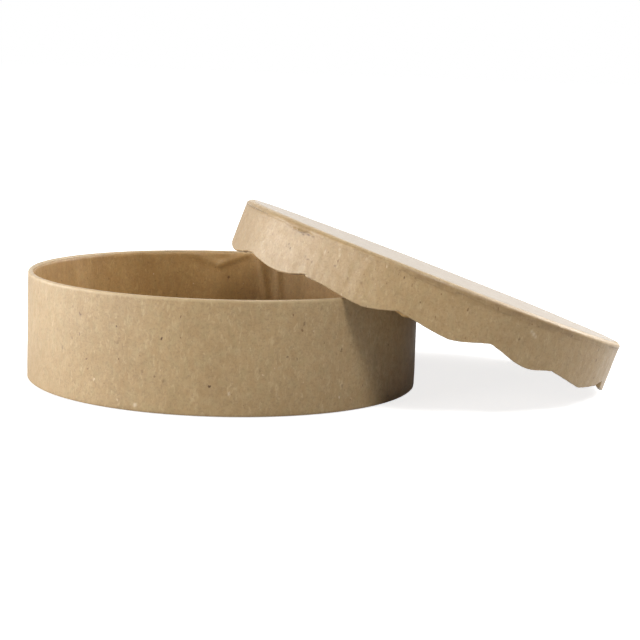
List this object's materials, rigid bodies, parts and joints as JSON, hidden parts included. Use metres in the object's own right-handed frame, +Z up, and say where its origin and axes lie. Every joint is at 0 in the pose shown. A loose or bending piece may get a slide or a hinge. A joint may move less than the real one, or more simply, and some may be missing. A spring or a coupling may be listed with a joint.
{
  "type": "cheese box",
  "caption": "Round papier-mache cheese box: a plain drum base with a lid, its skirt cut to a wavy edge, taken off and leaning on the base's rim.",
  "frame": {"origin": "the middle of the base's underside, on the table", "axes": "+Z up, out of the open base; +X towards the side on which the lid leans, its low edge on the table"},
  "size_m": [0.172, 0.1187, 0.0519],
  "materials": {
    "greyboard": "matte",
    "kraft_paper": "matte",
    "kraft_lining": "matte",
    "gummed_tape": "matte"
  },
  "bodies": {
    "base": {"base_wall": "greyboard", "base_floor": "greyboard", "base_wall_cover": "kraft_paper", "base_bottom_cover": "kraft_paper", "base_wall_lining": "kraft_lining", "base_floor_lining": "kraft_lining", "base_joint_tape": "gummed_tape"},
    "lid": {"lid_panel": "greyboard", "lid_skirt": "greyboard", "lid_top_cover": "kraft_paper", "lid_skirt_cover": "kraft_paper", "lid_skirt_lining": "kraft_lining", "lid_panel_lining": "kraft_lining", "lid_joint_tape": "gummed_tape"}
  },
  "joints": [
    {"name": "lid_lift", "type": "slide", "parent": "base", "child": "lid", "axis": [0, 0, 1], "range_m": [0, 0.06]}
  ]
}
